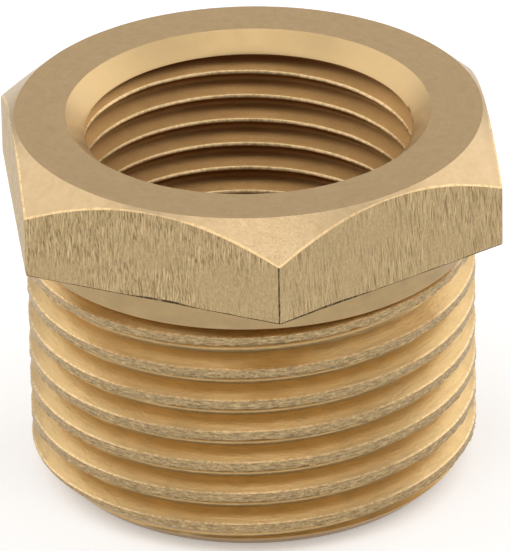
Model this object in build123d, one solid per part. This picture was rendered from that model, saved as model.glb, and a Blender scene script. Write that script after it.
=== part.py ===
"""Hex reducing bushing, 1 inch male by 3/4 inch female parallel pipe thread.

One piece, turned and threaded from hexagonal brass bar. Millimetres, +Z up, origin at the
centre of the male end, which the bushing stands on. The hexagon is at the top and two of its
flats face +Y and -Y. The male thread is cut here; the finer female thread is left out, and its
bore is plain, at the size over the crests.
"""

import os
from math import ceil, cos, radians, tan

from build123d import *
from build123d.topology import SkipClean

# ---- hexagonal head ----
ACROSS_FLATS = 35.0  # spanner size
HEAD_HEIGHT = 7.2
TOP_FACE_DIAMETER = 34.5  # the round top face inside the chamfer
TOP_CHAMFER_ANGLE = 42.0  # below the horizontal

# ---- male end ----
MALE_LENGTH = 21.2  # end face to the underside of the head
MALE_DIAMETER = 33.25  # over the crests, and of the plain collar
COLLAR_HEIGHT = 2.25  # unthreaded, under the head
END_CHAMFER = 2.1  # at 45 degrees

# ---- male thread: one right-hand start ----
MALE_PITCH = 2.575
CREST_SHARE = 0.30  # flat crest, as a share of the pitch
FLANK_ANGLE = 27.5  # half of the 55 degree form
START_ANGLE = 127.0  # about Z from +X, where the bottom of the groove crosses the end face

# ---- female end ----
BORE_DIAMETER = 24.12  # over the crests of the female thread
MOUTH_DIAMETER = 26.95  # of the entry chamfer, at the top face and at 45 degrees
EXIT_CHAMFER = 0.8  # where the bore leaves the male end, at 45 degrees

# ---- worked out ----
TOTAL_HEIGHT = MALE_LENGTH + HEAD_HEIGHT
THREAD_STOP = MALE_LENGTH - COLLAR_HEIGHT
MALE_RADIUS = MALE_DIAMETER / 2
BORE_RADIUS = BORE_DIAMETER / 2
CORNER_RADIUS = ACROSS_FLATS / 2 / cos(radians(30))
GROOVE_HALF_WIDTH = MALE_PITCH * (1 - CREST_SHARE) / 2
OVERRUN = 1.0  # how far a cutting shape passes the surface that it cuts
SHANK_SECTORS = 8  # each turn of the crest is divided into this many short faces


def sectors(outline, count):
    """A solid of revolution about Z, with its round faces divided into equal sectors."""
    face = make_face(Plane.XZ * Polyline(*outline, close=True))
    sector = revolve(face, Axis.Z, revolution_arc=360 / count)
    body = sector
    for index in range(1, count):
        body += Rot(0, 0, index * 360 / count) * sector
    return body


def head():
    """The hexagon, with the cone that rounds off its upper corners."""
    prism = extrude(RegularPolygon(CORNER_RADIUS, 6), HEAD_HEIGHT)
    top_radius = TOP_FACE_DIAMETER / 2
    rim_radius = CORNER_RADIUS + OVERRUN
    rim_height = HEAD_HEIGHT - (rim_radius - top_radius) * tan(radians(TOP_CHAMFER_ANGLE))
    outline = [
        (0, 0),
        (rim_radius, 0),
        (rim_radius, rim_height),
        (top_radius, HEAD_HEIGHT),
        (0, HEAD_HEIGHT),
    ]
    return Pos(0, 0, MALE_LENGTH) * (prism & sectors(outline, 1))


def shank():
    """The male end before threading, with its end chamfer."""
    outline = [
        (0, -OVERRUN),
        (MALE_RADIUS - END_CHAMFER - OVERRUN, -OVERRUN),
        (MALE_RADIUS, END_CHAMFER),
        (MALE_RADIUS, MALE_LENGTH),
        (0, MALE_LENGTH),
    ]
    below = Pos(0, 0, -OVERRUN) * Cylinder(MALE_DIAMETER, 2 * OVERRUN)
    return sectors(outline, SHANK_SECTORS) - below


def bore():
    """What the drill and the two countersinks take out."""
    mouth_radius = MOUTH_DIAMETER / 2
    outline = [
        (0, -OVERRUN),
        (BORE_RADIUS + EXIT_CHAMFER + OVERRUN, -OVERRUN),
        (BORE_RADIUS, EXIT_CHAMFER),
        (BORE_RADIUS, TOTAL_HEIGHT - (mouth_radius - BORE_RADIUS)),
        (mouth_radius + OVERRUN, TOTAL_HEIGHT + OVERRUN),
        (0, TOTAL_HEIGHT + OVERRUN),
    ]
    return sectors(outline, 1)


def groove_section():
    """Corners (radius, height) of the V groove: both mouth corners lie outside the crests."""
    slope = tan(radians(FLANK_ANGLE))
    rise = 0.35 * CREST_SHARE * MALE_PITCH
    mouth_radius = MALE_RADIUS + rise / slope
    mouth_half = GROOVE_HALF_WIDTH + rise
    bottom_radius = MALE_RADIUS - GROOVE_HALF_WIDTH / slope
    return [(mouth_radius, -mouth_half), (bottom_radius, 0), (mouth_radius, mouth_half)]


def male_groove():
    """The helical groove, one face a turn on each side, cut off level under the collar."""
    first = START_ANGLE - 360
    turns = ceil(THREAD_STOP / MALE_PITCH) + 2
    faces = []
    for turn in range(turns):
        edges = []
        for radius, height in groove_section():
            helix = Edge.make_helix(MALE_PITCH, MALE_PITCH, radius)
            edges.append(Pos(0, 0, (turn - 1) * MALE_PITCH + height) * Rot(0, 0, first) * helix)
        for side, edge in enumerate(edges):
            faces.append(Face.make_surface_from_curves(edge, edges[(side + 1) % len(edges)]))
        if turn == 0:
            faces.append(Face(Wire.make_polygon([edge @ 0 for edge in edges], close=True)))
        if turn == turns - 1:
            faces.append(Face(Wire.make_polygon([edge @ 1 for edge in edges], close=True)))
    above = Pos(0, 0, THREAD_STOP + 2 * MALE_PITCH) * Cylinder(MALE_DIAMETER, 4 * MALE_PITCH)
    return Solid(Shell(faces)) - above


def hex_bushing():
    """The whole bushing as one solid."""
    with SkipClean():
        blank = head() + shank()
        threaded = blank - bore() - male_groove()
    return threaded.solid()


os.makedirs("parts", exist_ok=True)
export_step(hex_bushing(), "parts/hex_bushing.step")
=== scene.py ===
import math

import bmesh
import bpy
import numpy as np
from mathutils import Matrix, Vector


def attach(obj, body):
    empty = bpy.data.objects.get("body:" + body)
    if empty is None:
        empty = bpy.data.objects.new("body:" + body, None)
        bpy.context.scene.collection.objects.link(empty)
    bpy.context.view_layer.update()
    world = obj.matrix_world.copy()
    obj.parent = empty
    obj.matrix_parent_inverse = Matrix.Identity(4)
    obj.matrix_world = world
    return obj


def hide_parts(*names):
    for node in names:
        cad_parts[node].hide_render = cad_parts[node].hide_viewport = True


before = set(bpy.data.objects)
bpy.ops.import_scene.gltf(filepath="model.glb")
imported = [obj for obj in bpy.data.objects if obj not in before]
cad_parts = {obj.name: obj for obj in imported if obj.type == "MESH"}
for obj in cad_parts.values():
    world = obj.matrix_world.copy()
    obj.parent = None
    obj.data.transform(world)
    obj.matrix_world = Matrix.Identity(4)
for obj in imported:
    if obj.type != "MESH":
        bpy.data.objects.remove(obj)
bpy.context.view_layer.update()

# ---------------------------------------------------------------- sizes of the part, in mm
ACROSS_FLATS = 35.0
HEIGHT = 28.4
HEAD_UNDERSIDE = 21.2
COLLAR_LOWER = 18.95
TOP_FACE_RADIUS = 17.25
CONE_SLOPE = math.tan(math.radians(42.0))
FLANK = math.radians(27.5)  # half of the 55 degree thread form
ROOT_RADIUS = 0.30  # rounds the bottom of both threads' grooves

MALE_RADIUS = 16.625
END_CHAMFER = 2.1  # at 45 degrees
END_RADIUS = MALE_RADIUS - END_CHAMFER
MALE_PITCH = 2.575
MALE_CREST_SHARE = 0.30
MALE_START = 127.0  # angle where the bottom of the groove crosses the end face
MALE_FOOT = 0.62  # height of the plain band below the thread
LAST_CREST = 2405.0  # angle along the helix where the crest under the collar narrows
LAST_CREST_REACH = 45.0
LAST_CREST_LIFT = 0.14

BORE_RADIUS = 12.06
MOUTH_RADIUS = 13.475
EXIT_CHAMFER = 0.8
FEMALE_PITCH = 2.02
FEMALE_CREST = 0.41
FEMALE_START = 84.0
FEMALE_TOP = 26.94  # height where the entry chamfer cuts the thread
FEMALE_DEPTH = 17.0  # from the top face
FEMALE_MARGIN = 2.2  # from that depth down to the plain bore
FEMALE_CREST_FORM = ((0.0, 0.02), (0.06, 0.0), (0.13, 0.03), (0.25, 0.13), (0.38, 0.27))

CORNER_STEP = 0.35  # degrees from each corner of the hexagon to the columns beside it
CORNER_WEAR = 0.035
# painted shade: a dark line down this corner of the flats, and a dark facet along the head's
# lower edge that is wider about these angles
SHADED_CORNER = 300.0
UNDERSIDE_SHADE = ((312, 9, 0.16), (273, 7, 0.14))  # angle, spread in degrees, height
CLOSE_ROWS = 0.12  # rows nearer than this keep their places where the end chamfer cuts them

MM = 0.001  # in metres
WELD = 1e-6  # metres: points nearer than this are joined
SHARP = math.radians(38)  # edges that turn by more than this stay sharp

# materials, by their slots in the mesh
TURNED, FLAT, GROOVE, CREST, BORE, MOUTH, COLLAR, CONE, SHADE_LINE, EDGE = range(10)


# ---------------------------------------------------------------- the detailed bushing
def column_angles():
    """Degrees about the axis: about one a degree, with a close pair at each hexagon corner."""
    angles = []
    for sector in range(6):
        first = 60 * sector + CORNER_STEP
        last = 60 * sector + 60 - CORNER_STEP
        angles += [60 * sector, *np.linspace(first, last, 58)]
    return np.array(angles + [360.0])


def wobble(theta, seed, period=7.0, octaves=3):
    """Smooth seeded noise in -1..1 along an angle in degrees."""
    rng = np.random.default_rng(seed)
    total = np.zeros_like(theta, dtype=float)
    weight = 0.0
    for octave in range(octaves):
        table = rng.uniform(-1, 1, 4096)
        x = theta / period * 2.0**octave + 37.0 * octave
        cell = np.floor(x).astype(int)
        t = x - cell
        t = t * t * (3 - 2 * t)
        total += (table[cell % 4096] * (1 - t) + table[(cell + 1) % 4096] * t) * 0.6**octave
        weight += 0.6**octave
    return total / weight


def root_arc(half_width, count):
    """Points (height, depth) on the round bottom of a V groove, going up."""
    centre = half_width / math.tan(FLANK) - ROOT_RADIUS / math.sin(FLANK)
    reach = math.pi / 2 - FLANK
    return [
        (ROOT_RADIUS * math.sin(turn), centre + ROOT_RADIUS * math.cos(turn))
        for turn in np.linspace(-reach, reach, count)
    ]


def stacked(rows, angles):
    """Rows of (height, radius, material) as two arrays and a list."""
    heights = np.array([height + 0 * angles for height, _, _ in rows])
    radii = np.array([radius + 0 * angles for _, radius, _ in rows])
    return heights, radii, [kind for _, _, kind in rows]


def male_rows(angles):
    """Rows of the male thread, going up, each with the material of the strip above it."""
    half = MALE_PITCH * (1 - MALE_CREST_SHARE) / 2
    arc = root_arc(half, 7)
    rows = []
    for turn in range(-2, 9):
        theta = angles + 360 * turn
        base = MALE_PITCH * (theta - MALE_START) / 360
        burr = np.clip(1.8 * wobble(theta, 11, 2.4) + 0.3, 0, 1)
        nick = wobble(theta, 12, 2.2)
        shave = 0.5 + 0.5 * wobble(theta, 13, 9.0)
        chip = np.clip(3.2 * wobble(theta, 16, 2.6, 2) - 0.9, 0, 1)
        narrow = np.clip((theta - LAST_CREST) / LAST_CREST_REACH, 0, 1)
        torn = chip * (0.05 + 0.08 * narrow)
        for step, (height, depth) in enumerate(arc):
            lift = LAST_CREST_LIFT * narrow * step / (len(arc) - 1)
            rows.append((base + height + lift, MALE_RADIUS - depth, GROOVE))
        lower = base + half - 0.08 * burr + 0.03 * nick + LAST_CREST_LIFT * narrow
        middle = base + MALE_PITCH / 2 + 0.12 * narrow
        upper = base + MALE_PITCH - half - 0.02 * wobble(theta, 14, 3.5) + 0.10 * narrow
        rows += [
            (lower, MALE_RADIUS - 0.03 - torn, CREST),
            (lower + 0.04, MALE_RADIUS + 0.05 * burr - torn, CREST),
            (lower + 0.12 + 0.5 * torn, MALE_RADIUS - 0.012 * shave, CREST),
            (middle, MALE_RADIUS - 0.01 * wobble(theta, 15, 5.0), CREST),
            # the strip along the crest's upper edge is a painted highlight
            (upper - 0.09, MALE_RADIUS + 0.015 * shave, EDGE),
            (upper, MALE_RADIUS - 0.115, GROOVE),
        ]
    return stacked(rows, angles)


def female_rows(angles):
    """Rows of the female thread, going up: its groove fades in over half a turn."""
    half = (FEMALE_PITCH - FEMALE_CREST) / 2
    arc = root_arc(half, 5)
    first = int(FEMALE_DEPTH / FEMALE_PITCH) + 2
    full = FEMALE_START - 360 * FEMALE_DEPTH / FEMALE_PITCH
    rows = []
    for turn in range(-first, 2):
        theta = angles + 360 * turn
        base = HEIGHT + FEMALE_PITCH * (theta - FEMALE_START) / 360
        fade = np.clip((theta - full + 180) / 180, 0, 1)
        for height, depth in arc:
            rows.append((base + height, BORE_RADIUS + depth * fade, BORE))
        rough = 0.5 + 0.5 * wobble(theta, 21, 4.0)
        lower = base + half + 0.02 * wobble(theta, 22, 5.0)
        for rise, back in FEMALE_CREST_FORM:
            radius = BORE_RADIUS + (back + 0.015 * rough) * fade
            # the crest's first strips are a painted highlight, the bright line on each crest
            rows.append((lower + rise, radius, EDGE if rise < 0.2 else BORE))
    return stacked(rows, angles)


def radius_at(height, z, r):
    """The radius of a thread's section at a height, for each column."""
    return np.array([np.interp(height, z[:, j], r[:, j]) for j in range(z.shape[1])])


def cut_by_end_chamfer(z, r):
    """Cuts the male thread with the end chamfer's cone.

    The row nearest to each crossing moves onto it, so the edge is a clean line.
    """
    bound = END_RADIUS + np.maximum(z, 0)
    gap = bound - r
    keep = gap >= 0
    out_z, out_r = z.copy(), np.where(keep, r, bound)
    for i in range(len(z) - 1):
        change = (keep[i] != keep[i + 1]) & (np.abs(z[i + 1] - z[i]) > CLOSE_ROWS)
        t = np.where(change, gap[i] / np.where(change, gap[i] - gap[i + 1], 1), 0)
        cross_z = z[i] + t * (z[i + 1] - z[i])
        cross_r = r[i] + t * (r[i + 1] - r[i])
        for j, near in ((i, change & (t <= 0.5)), (i + 1, change & (t > 0.5))):
            out_z[j] = np.where(near, cross_z, out_z[j])
            out_r[j] = np.where(near, cross_r, out_r[j])
    return out_z, out_r


def head_rows(angles):
    """From the mouth's edge over the top face, cone, flats and underside to the collar."""
    from_flat = np.radians((angles % 60) - 30)
    hexagon = ACROSS_FLATS / 2 / np.cos(from_flat) - CORNER_WEAR * np.isclose(angles % 60, 0)
    rim = HEIGHT - (hexagon - TOP_FACE_RADIUS) * CONE_SLOPE
    mouth = MOUTH_RADIUS + 0.02 * wobble(angles, 24, 5.0)
    rows = [
        (HEIGHT - 0.012, mouth - 0.012, MOUTH),
        (HEIGHT, mouth, TURNED),
        (HEIGHT, MOUTH_RADIUS + 0.16, TURNED),
        (HEIGHT, MOUTH_RADIUS + 1.4, TURNED),
        (HEIGHT, TOP_FACE_RADIUS + 0.015 * wobble(angles, 26, 6.0), CONE),
    ]
    for share in (0.35, 0.7):
        height = HEIGHT + (rim - HEIGHT) * share
        rows.append((height, TOP_FACE_RADIUS + (hexagon - TOP_FACE_RADIUS) * share, CONE))
    # a band round the cone's rim, painted lighter as a painted highlight
    wear_and_highlight = 0.16 + 0.05 * wobble(angles, 27, 4.0)
    wear_and_highlight = np.minimum(wear_and_highlight, 0.27 * (hexagon - TOP_FACE_RADIUS))
    rows += [(rim + wear_and_highlight * CONE_SLOPE, hexagon - wear_and_highlight, EDGE), (rim, hexagon, FLAT)]
    for share in (0.1, 0.3, 0.5, 0.7, 0.9):
        rows.append((rim + (HEAD_UNDERSIDE - rim) * share, hexagon, FLAT))
    # a dark facet along the head's lower edge, in painted shade, wider about the given angles
    broken = 0.07 + 0.05 * wobble(angles, 25, 4.0)
    for angle, spread, height in UNDERSIDE_SHADE:
        broken += height * np.exp(-(((angles - angle) / spread) ** 2))
    rows += [
        (HEAD_UNDERSIDE + broken, hexagon, SHADE_LINE),
        (HEAD_UNDERSIDE, hexagon - 0.3 * broken, TURNED),
        (HEAD_UNDERSIDE, (hexagon + MALE_RADIUS) / 2, TURNED),
        (HEAD_UNDERSIDE, MALE_RADIUS + 0.02, COLLAR),
    ]
    return rows


def male_end_rows(angles):
    """From the collar down the thread to the bottom of the end chamfer."""
    z, r, kinds = male_rows(angles)
    stop = radius_at(COLLAR_LOWER, z, r)
    lip = np.minimum(0.05, np.maximum(MALE_RADIUS - stop, 0))
    rows = [
        (HEAD_UNDERSIDE - 0.05, MALE_RADIUS, COLLAR),
        ((HEAD_UNDERSIDE + COLLAR_LOWER) / 2, MALE_RADIUS, COLLAR),
        (COLLAR_LOWER + 0.5, MALE_RADIUS, COLLAR),
        (COLLAR_LOWER + lip, MALE_RADIUS, COLLAR),
        (COLLAR_LOWER, MALE_RADIUS - lip, GROOVE),
    ]
    above = z > COLLAR_LOWER
    below = z < MALE_FOOT
    z, r = cut_by_end_chamfer(z, r)
    z = np.where(below, MALE_FOOT, np.where(above, COLLAR_LOWER, z))
    r = np.where(below, END_RADIUS + MALE_FOOT, np.where(above, stop, r))
    for i in range(len(z) - 1, -1, -1):
        rows.append((z[i], r[i], kinds[i - 1] if i else TURNED))
    rows += [(0.04, END_RADIUS + 0.02, TURNED), (0, END_RADIUS - 0.04, TURNED)]
    return rows


def bore_rows(angles):
    """From the end face up the bore and its thread to the entry chamfer."""
    z, r, kinds = female_rows(angles)
    stop = radius_at(FEMALE_TOP, z, r)
    floor = HEIGHT - FEMALE_DEPTH - FEMALE_MARGIN
    above = z > FEMALE_TOP
    below = z < floor
    z = np.where(above, FEMALE_TOP, np.where(below, floor, z))
    r = np.where(above, stop, np.where(below, BORE_RADIUS, r))
    lip = BORE_RADIUS + 0.03 + 0.01 * wobble(angles, 23, 6.0)
    rows = [
        (0, (END_RADIUS + BORE_RADIUS + EXIT_CHAMFER) / 2, TURNED),
        (0, BORE_RADIUS + EXIT_CHAMFER, TURNED),
        (EXIT_CHAMFER, BORE_RADIUS, BORE),
        (floor / 2, BORE_RADIUS, BORE),
        *zip(z, r, kinds),
        (FEMALE_TOP, np.minimum(lip, stop), BORE),
        (FEMALE_TOP + 0.02, BORE_RADIUS + 0.02, MOUTH),
    ]
    foot = FEMALE_TOP + 0.045
    for share in (0.12, 0.5, 0.84):
        radius = BORE_RADIUS + (MOUTH_RADIUS - BORE_RADIUS) * share
        rows.append((foot + (HEIGHT - foot) * share, radius, MOUTH))
    return rows


def build_bushing():
    """The whole bushing: one closed section a column, joined round the axis."""
    angles = column_angles()
    rows = head_rows(angles) + male_end_rows(angles) + bore_rows(angles)
    z, r, strip_kinds = stacked(rows, angles)
    z, r = z.T, r.T
    count = len(rows)
    turn = np.radians(angles)[:, None]
    points = np.stack([r * np.cos(turn), r * np.sin(turn), z], axis=-1).reshape(-1, 3) * MM
    faces, kinds = [], []
    for j in range(len(angles) - 1):
        # the flat's strip beside this corner is painted dark, as painted shade
        shaded_corner_strip = math.isclose(angles[j], SHADED_CORNER - CORNER_STEP)
        for i in range(count):
            k = (i + 1) % count
            here, there = j * count, (j + 1) * count
            faces.append((here + i, here + k, there + k, there + i))
            kinds.append(SHADE_LINE if shaded_corner_strip and strip_kinds[i] == FLAT else strip_kinds[i])
    mesh = bpy.data.meshes.new("bushing_body")
    mesh.from_pydata(points.tolist(), [], faces)
    mesh.polygons.foreach_set("material_index", kinds)
    work = bmesh.new()
    work.from_mesh(mesh)
    bmesh.ops.remove_doubles(work, verts=work.verts, dist=WELD)
    bmesh.ops.dissolve_degenerate(work, edges=work.edges, dist=WELD / 10)
    loose = [v for v in work.verts if not v.link_faces]
    bmesh.ops.delete(work, geom=loose, context="VERTS")
    work.to_mesh(mesh)
    work.free()
    mesh.polygons.foreach_set("use_smooth", [True] * len(mesh.polygons))
    mesh.set_sharp_from_angle(angle=SHARP)
    piece = bpy.data.objects.new("bushing_body", mesh)
    bpy.context.scene.collection.objects.link(piece)
    return piece


# ---------------------------------------------------------------- materials
BRASS = (0.52, 0.365, 0.18)
MARK_RADIUS = 0.0166  # metres: marks round the axis are to scale at this radius


def shade(factor, tint=(1.0, 1.0, 1.0)):
    """The brass colour, lighter or darker."""
    return tuple(min(1.0, c * factor * t) for c, t in zip(BRASS, tint))


class Nodes:
    """Short names for making one material's node tree."""

    def __init__(self, name):
        self.material = bpy.data.materials.new(name)
        self.material.use_nodes = True
        self.tree = self.material.node_tree
        self.shader = self.tree.nodes["Principled BSDF"]
        self.shader.inputs["Metallic"].default_value = 1.0

    def node(self, kind, **values):
        """A new node: each value is a setting of the node or of one of its inputs."""
        made = self.tree.nodes.new(kind)
        for key, value in values.items():
            if hasattr(made, key):
                setattr(made, key, value)
            else:
                made.inputs[key].default_value = value
        return made

    def link(self, source, target):
        self.tree.links.new(source, target)

    def calculate(self, operation, first, second):
        """Math on a node's output and either a number or another output."""
        made = self.node("ShaderNodeMath", operation=operation)
        self.link(first, made.inputs[0])
        if isinstance(second, (int, float)):
            made.inputs[1].default_value = second
        else:
            self.link(second, made.inputs[1])
        return made.outputs[0]

    def times(self, source, factor):
        return self.calculate("MULTIPLY", source, factor)

    def place(self):
        """A point's X, Y and Z."""
        texture = self.node("ShaderNodeTexCoord")
        split = self.node("ShaderNodeSeparateXYZ")
        self.link(texture.outputs["Object"], split.inputs[0])
        return [split.outputs[axis] for axis in "XYZ"]

    def joined(self, **axes):
        """A vector of the given X, Y and Z, with 0 for the others."""
        made = self.node("ShaderNodeCombineXYZ")
        for axis, source in axes.items():
            self.link(source, made.inputs[axis])
        return made.outputs[0]

    def distance(self, vector):
        """The length of a vector."""
        made = self.node("ShaderNodeVectorMath", operation="LENGTH")
        self.link(vector, made.inputs[0])
        return made.outputs["Value"]

    def coords(self, x, y, z):
        """Coordinates with a scale for each axis."""
        texture = self.node("ShaderNodeTexCoord")
        mapping = self.node("ShaderNodeMapping", Scale=(x, y, z))
        self.link(texture.outputs["Object"], mapping.inputs["Vector"])
        return mapping.outputs["Vector"]

    def slanted(self, scale, scale_z, slope):
        """Coordinates for upright scratches that lean by the slope."""
        x, y, z = self.place()
        lean = self.times(z, slope)
        return self.joined(
            X=self.times(self.calculate("ADD", x, lean), scale),
            Y=self.times(self.calculate("ADD", y, lean), scale),
            Z=self.times(z, scale_z),
        )

    def around_axis(self, scale_round, scale_z):
        """Coordinates round the axis and up it, for marks that follow the turning."""
        x, y, z = self.place()
        angle = self.calculate("ARCTAN2", y, x)
        length = self.times(angle, MARK_RADIUS * scale_round)
        return self.joined(X=length, Y=self.times(z, scale_z))

    def rings(self, scale_r, scale_z):
        """Coordinates that vary only with radius and height, for turning marks."""
        x, y, z = self.place()
        radius = self.distance(self.joined(X=x, Y=y))
        return self.joined(X=self.times(radius, scale_r), Y=self.times(z, scale_z))

    def noise(self, vector, detail, rough=0.6, distortion=0.0):
        made = self.node(
            "ShaderNodeTexNoise", Scale=1.0, Detail=detail, Roughness=rough, Distortion=distortion
        )
        self.link(vector, made.inputs["Vector"])
        return made.outputs["Fac"]

    def spread(self, source, low, high, out_low=0.0, out_high=1.0):
        """Stretches the part of a value between low and high."""
        made = self.node("ShaderNodeMapRange")
        limits = {"From Min": low, "From Max": high, "To Min": out_low, "To Max": out_high}
        for name, value in limits.items():
            made.inputs[name].default_value = value
        self.link(source, made.inputs["Value"])
        return made.outputs["Result"]

    def mix(self, factor, first, second):
        made = self.node("ShaderNodeMix", data_type="RGBA")
        self.link(factor, made.inputs["Factor"])
        for value, socket in ((first, made.inputs["A"]), (second, made.inputs["B"])):
            if isinstance(value, tuple):
                socket.default_value = (*value, 1.0)
            else:
                self.link(value, socket)
        return made.outputs["Result"]

    def bump(self, height, distance, strength, normal=None):
        made = self.node("ShaderNodeBump", Distance=distance, Strength=strength)
        self.link(height, made.inputs["Height"])
        if normal is not None:
            self.link(normal, made.inputs["Normal"])
        return made.outputs["Normal"]

    def finish(self, colour, roughness, normal):
        self.link(colour, self.shader.inputs["Base Color"])
        self.link(roughness, self.shader.inputs["Roughness"])
        self.link(normal, self.shader.inputs["Normal"])
        return self.material


def turned_brass():
    """The top face, the underside of the head and the end face."""
    n = Nodes("brass_turned")
    marks = n.noise(n.rings(7000, 7000), 3.0)
    cloud = n.noise(n.coords(1500, 1500, 1500), 5.0, 0.7)
    grain = n.noise(n.coords(7000, 7000, 7000), 2.0, 0.5)
    dark, light = shade(0.93, (1.0, 0.95, 0.90)), shade(1.05, (1.0, 0.98, 0.96))
    colour = n.mix(n.spread(cloud, 0.35, 0.65), dark, light)
    lines = n.spread(marks, 0.35, 0.65, 0.0, 0.4)
    colour = n.mix(lines, colour, shade(0.90, (1.0, 0.97, 0.93)))
    rough = n.spread(grain, 0.3, 0.7, 0.30, 0.38)
    normal = n.bump(marks, 0.000012, 0.5)
    normal = n.bump(grain, 0.000015, 0.5, normal)
    return n.finish(colour, rough, normal)


def flat_brass():
    """The hexagon's flats, scratched by upright strokes that lean both ways."""
    n = Nodes("brass_flats")
    left = n.noise(n.slanted(11500, 520, 0.10), 2.0, 0.5, 0.2)
    right = n.noise(n.slanted(10500, 600, -0.06), 2.0, 0.5, 0.2)
    grain = n.noise(n.coords(7500, 7500, 4200), 3.0, 0.75)
    wear_and_highlight = n.noise(n.coords(120, 120, 150), 3.0)
    reach = n.spread(wear_and_highlight, 0.36, 0.52, 0.10, 1.0)
    dark, light = shade(0.80, (1.0, 1.03, 1.04)), shade(1.18, (1.0, 1.05, 1.16))
    colour = n.mix(n.spread(grain, 0.34, 0.66), dark, light)
    strokes = n.times(n.spread(left, 0.50, 0.64), reach)
    colour = n.mix(strokes, colour, shade(0.52, (1.0, 0.96, 0.88)))
    strokes = n.times(n.spread(right, 0.53, 0.66, 0.0, 0.9), reach)
    colour = n.mix(strokes, colour, shade(1.42, (1.0, 1.06, 1.20)))
    rough = n.spread(grain, 0.3, 0.7, 0.40, 0.54)
    normal = n.bump(left, 0.00007, 0.6)
    normal = n.bump(right, 0.00007, 0.6, normal)
    normal = n.bump(grain, 0.00004, 0.6, normal)
    return n.finish(colour, rough, normal)


def groove_brass():
    """The flanks and bottom of the male thread's groove."""
    n = Nodes("brass_groove")
    cloud = n.noise(n.coords(420, 420, 420), 5.0)
    grain = n.noise(n.coords(7000, 7000, 7000), 3.0)
    streak = n.noise(n.around_axis(500, 9000), 4.0, 0.65)
    broken = n.noise(n.around_axis(2600, 9000), 3.0)
    dark, light = shade(1.16, (1.0, 0.98, 0.90)), shade(1.30, (1.0, 0.98, 0.92))
    colour = n.mix(n.spread(cloud, 0.3, 0.7), dark, light)
    lines = n.spread(streak, 0.34, 0.52, 0.55, 0.0)
    colour = n.mix(lines, colour, shade(0.92, (1.0, 0.98, 0.95)))
    rough = n.spread(grain, 0.3, 0.7, 0.34, 0.44)
    return n.finish(colour, rough, n.bump(broken, 0.00003, 0.7))


def crest_brass():
    """The rough crests of the male thread."""
    n = Nodes("brass_crest")
    grit = n.noise(n.coords(4600, 4600, 9000), 3.0, 0.7)
    streak = n.noise(n.around_axis(1500, 6500), 4.0, 0.65)
    dark, light = shade(0.62, (1.0, 1.00, 0.98)), shade(1.12, (1.0, 1.02, 1.08))
    colour = n.mix(n.spread(grit, 0.34, 0.64), dark, light)
    low = n.spread(streak, 0.36, 0.50, 0.65, 0.0)
    colour = n.mix(low, colour, shade(0.40, (1.0, 0.98, 0.95)))
    high = n.spread(streak, 0.54, 0.66, 0.0, 0.85)
    colour = n.mix(high, colour, shade(1.45, (1.0, 1.04, 1.14)))
    rough = n.spread(streak, 0.3, 0.7, 0.32, 0.46)
    normal = n.bump(grit, 0.00007, 0.8)
    normal = n.bump(streak, 0.00004, 0.7, normal)
    return n.finish(colour, rough, normal)


def bore_brass():
    """The bore and the female thread's groove, darker and browner than the outside."""
    n = Nodes("brass_bore")
    cloud = n.noise(n.coords(380, 380, 700), 5.0)
    grain = n.noise(n.coords(3500, 3500, 9000), 3.0)
    dark, light = shade(1.02, (1.0, 0.84, 0.66)), shade(1.20, (1.0, 0.85, 0.68))
    colour = n.mix(n.spread(cloud, 0.3, 0.7), dark, light)
    rough = n.spread(grain, 0.3, 0.7, 0.52, 0.62)
    return n.finish(colour, rough, n.bump(grain, 0.00001, 0.5))


def mouth_brass():
    """The bore's entry chamfer."""
    n = Nodes("brass_mouth")
    cloud = n.noise(n.coords(700, 700, 700), 4.0)
    marks = n.noise(n.rings(9000, 9000), 3.0)
    colour = n.mix(n.spread(cloud, 0.3, 0.7), shade(1.06), shade(1.20, (1.0, 0.99, 0.97)))
    rough = n.spread(cloud, 0.3, 0.7, 0.36, 0.44)
    return n.finish(colour, rough, n.bump(marks, 0.00001, 0.5))


def collar_brass():
    """The plain collar under the head, painted darker than the other turned brass as painted
    shade under the head.
    """
    n = Nodes("brass_collar")
    marks = n.noise(n.rings(200, 9000), 3.0)
    cloud = n.noise(n.coords(500, 500, 900), 5.0)
    colour = n.mix(n.spread(cloud, 0.3, 0.7), shade(0.72, (1.0, 1.0, 1.03)), shade(0.86))
    rough = n.spread(marks, 0.3, 0.7, 0.26, 0.36)
    return n.finish(colour, rough, n.bump(marks, 0.00002, 0.5))


def cone_brass():
    """The cone that rounds off the hexagon's upper corners, painted paler and less golden than
    the other brass as a painted highlight.
    """
    n = Nodes("brass_cone")
    cloud = n.noise(n.coords(1100, 1100, 1100), 5.0, 0.7)
    grain = n.noise(n.coords(6000, 6000, 6000), 3.0)
    dark, light = shade(0.98, (1.0, 1.01, 1.08)), shade(1.14, (1.0, 1.03, 1.20))
    colour = n.mix(n.spread(cloud, 0.3, 0.7), dark, light)
    rough = n.spread(grain, 0.3, 0.7, 0.30, 0.40)
    return n.finish(colour, rough, n.bump(grain, 0.00002, 0.5))


def shade_line_brass():
    """Painted shade: dark lines along the head's lower edge and down one corner."""
    n = Nodes("brass_shade_line")
    cloud = n.noise(n.coords(2500, 2500, 900), 4.0, 0.7)
    colour = n.mix(n.spread(cloud, 0.50, 0.70), shade(0.14), shade(0.80))
    rough = n.spread(cloud, 0.3, 0.7, 0.45, 0.60)
    return n.finish(colour, rough, n.bump(cloud, 0.00004, 0.7))


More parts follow.
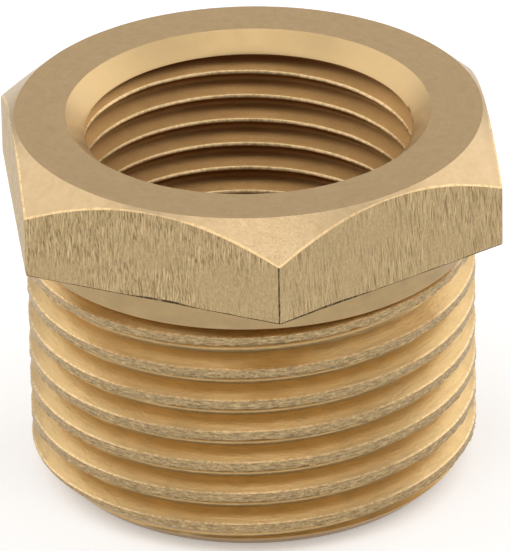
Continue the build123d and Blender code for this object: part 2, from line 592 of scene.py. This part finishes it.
def edge_brass():
    """Painted highlight: bright lines along the cone's rim and the edges of the crests."""
    n = Nodes("brass_edge_highlight")
    wear_and_highlight = n.noise(n.coords(3200, 3200, 2400), 3.0)
    dark, light = shade(1.10, (1.0, 1.00, 0.98)), shade(1.58, (1.0, 1.02, 1.12))
    colour = n.mix(n.spread(wear_and_highlight, 0.36, 0.60), dark, light)
    rough = n.spread(wear_and_highlight, 0.3, 0.7, 0.30, 0.42)
    return n.finish(colour, rough, n.bump(wear_and_highlight, 0.00002, 0.6))


# ---------------------------------------------------------------- the part
FINISHES = (  # in the order of the slots
    turned_brass,
    flat_brass,
    groove_brass,
    crest_brass,
    bore_brass,
    mouth_brass,
    collar_brass,
    cone_brass,
    shade_line_brass,
    edge_brass,
)

body = build_bushing()
for make_finish in FINISHES:
    body.data.materials.append(make_finish())
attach(body, "root")
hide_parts("hex_bushing")

# ---------------------------------------------------------------- floor, world and lamps
FLOOR_REACH = 3.0
FLOOR_COLOUR = (0.82, 0.82, 0.82, 1.0)
FLOOR_GLOW = 0.42
GLOW_FROM, GLOW_FULL = 0.010, 0.017  # metres from the axis: the glow fades out inside this, a painted shadow under the part
WORLD_LIGHT = 0.22
LAMPS = (  # name, azimuth, elevation, distance, width, height, radiance
    ("left_box", -114, 28, 0.60, 0.60, 0.55, 1.28),
    ("right_box", 120, 26, 0.60, 0.60, 0.55, 1.45),
    ("back_box", 180, 22, 0.70, 0.80, 0.48, 0.75),
    ("left_front_box", -64, 46, 0.60, 0.40, 0.30, 1.2),
    ("right_front_box", 64, 46, 0.60, 0.40, 0.30, 1.2),
    ("front_box", 0, 66, 0.60, 0.50, 0.18, 2.35),
)

scene = bpy.context.scene
scene.view_settings.view_transform = "Standard"


def floor_material():
    """Matte, with a glow for the camera, reflections and glass, but none under the part, which
    paints a shadow there.
    """
    n = Nodes("floor")
    n.tree.nodes.remove(n.shader)
    matte = n.node("ShaderNodeBsdfDiffuse", Color=FLOOR_COLOUR)
    path = n.node("ShaderNodeLightPath").outputs
    seen = n.calculate("MAXIMUM", path["Is Camera Ray"], path["Is Glossy Ray"])
    seen = n.calculate("MAXIMUM", seen, path["Is Transmission Ray"])
    texture = n.node("ShaderNodeTexCoord")
    reach = n.distance(texture.outputs["Object"])
    outside = n.spread(reach, GLOW_FROM, GLOW_FULL, 0.0, FLOOR_GLOW)
    outside.node.interpolation_type = "SMOOTHSTEP"
    light = n.node("ShaderNodeEmission")
    n.link(n.times(seen, outside), light.inputs["Strength"])
    both = n.node("ShaderNodeAddShader")
    n.link(matte.outputs[0], both.inputs[0])
    n.link(light.outputs[0], both.inputs[1])
    n.link(both.outputs[0], n.tree.nodes["Material Output"].inputs["Surface"])
    return n.material


def make_floor():
    mesh = bpy.data.meshes.new("floor")
    far = FLOOR_REACH
    corners = [(-far, -far, 0), (far, -far, 0), (far, far, 0), (-far, far, 0)]
    mesh.from_pydata(corners, [], [(0, 1, 2, 3)])
    mesh.materials.append(floor_material())
    floor = bpy.data.objects.new("floor", mesh)
    scene.collection.objects.link(floor)


make_floor()

world = bpy.data.worlds.new("studio")
scene.world = world
world.use_nodes = True
world.node_tree.nodes["Background"].inputs["Color"].default_value = (1.0, 1.0, 1.0, 1)
world.node_tree.nodes["Background"].inputs["Strength"].default_value = WORLD_LIGHT

CAMERA_AZIMUTH = -65.802
AIM = Vector((0, 0, 0.013971))


def around(azimuth, elevation, distance):
    """A point about the part: azimuth in degrees to the right of the camera."""
    a = math.radians(CAMERA_AZIMUTH + azimuth)
    e = math.radians(elevation)
    direction = Vector((math.cos(a) * math.cos(e), math.sin(a) * math.cos(e), math.sin(e)))
    return AIM + distance * direction


def lamp(name, azimuth, elevation, distance, width, height, radiance):
    """A soft box that faces the part: radiance 1 is as bright as white paper in plain light."""
    data = bpy.data.lights.new(name, "AREA")
    data.shape = "RECTANGLE"
    data.size = width
    data.size_y = height
    data.energy = radiance * math.pi * width * height
    made = bpy.data.objects.new(name, data)
    scene.collection.objects.link(made)
    made.location = around(azimuth, elevation, distance)
    made.rotation_euler = (made.location - AIM).to_track_quat("Z", "Y").to_euler()


for values in LAMPS:
    lamp(*values)

# ---------------------------------------------------------------- camera
VIEW_ELEVATION = 27.9156
VIEW_DISTANCE = 0.64954
ROLL = math.radians(-1.0776)
SIDE_STEP, UP_STEP = 0.000263, 0.000561  # metres across and up the picture

camera_data = bpy.data.cameras.new("camera")
camera_data.sensor_fit = "HORIZONTAL"
camera_data.sensor_width = 36.0
camera_data.lens = 617.04
camera_data.clip_start = 0.01
camera_data.clip_end = 20.0
camera = bpy.data.objects.new("camera", camera_data)
scene.collection.objects.link(camera)
scene.camera = camera

eye = around(0, VIEW_ELEVATION, VIEW_DISTANCE)
back = (eye - AIM).normalized()
right = Vector((0, 0, 1)).cross(back).normalized()
up = back.cross(right)
axis_x = math.cos(ROLL) * right + math.sin(ROLL) * up
axis_y = -math.sin(ROLL) * right + math.cos(ROLL) * up
eye = eye + SIDE_STEP * axis_x + UP_STEP * axis_y
tilt = Matrix((axis_x, axis_y, back)).transposed().to_4x4()
camera.matrix_world = Matrix.Translation(eye) @ tilt
